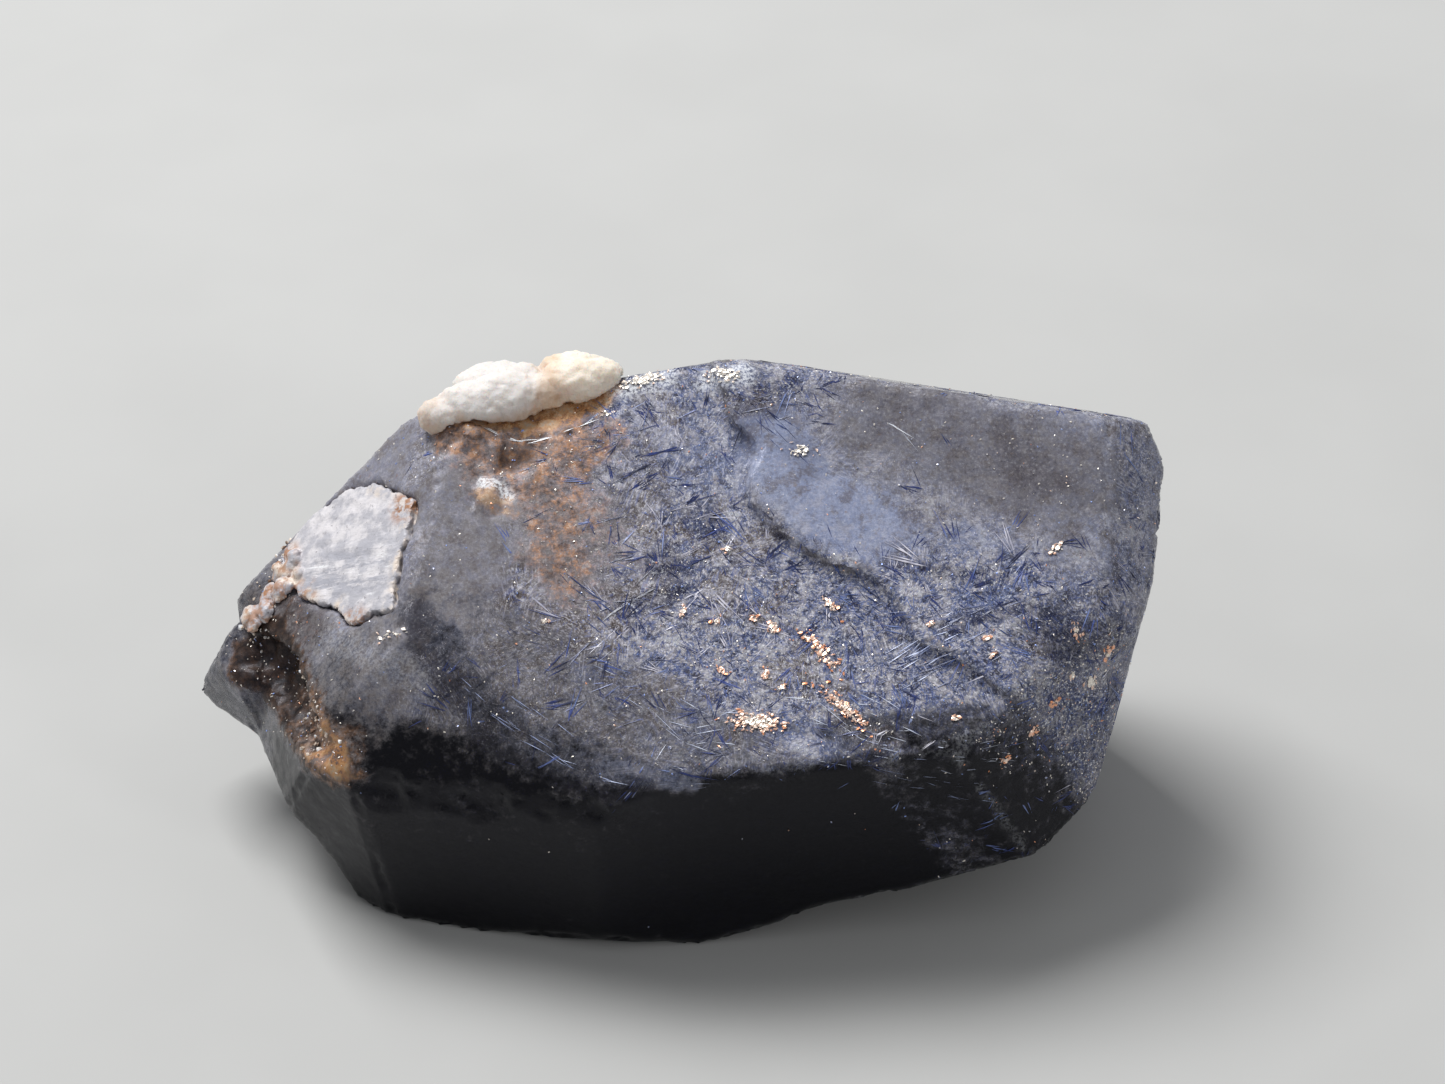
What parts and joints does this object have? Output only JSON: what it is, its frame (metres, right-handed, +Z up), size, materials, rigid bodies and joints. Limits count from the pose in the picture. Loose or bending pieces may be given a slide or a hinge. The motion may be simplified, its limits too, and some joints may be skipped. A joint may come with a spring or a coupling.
{
  "type": "dumortierite quartz crystal",
  "caption": "Stubby quartz crystal clouded with blue dumortierite fibres, lying on its broken underside, with a side point, a white plate and white crust.",
  "frame": {"origin": "middle of the bounding box's floor", "axes": "+X from the pointed end to the broken end, +Y from the front to the back, +Z up"},
  "size_m": [0.027, 0.0142, 0.0125],
  "materials": {
    "quartz": "clouded grey-violet quartz, glossy faces, blue fibres",
    "white_plate": "pearly white with cream and rust edges",
    "white_crust": "matt cream white"
  },
  "bodies": {
    "root": {"quartz_crystal": "quartz", "white_plate": "white_plate", "white_knobs": "white_crust"}
  },
  "joints": []
}
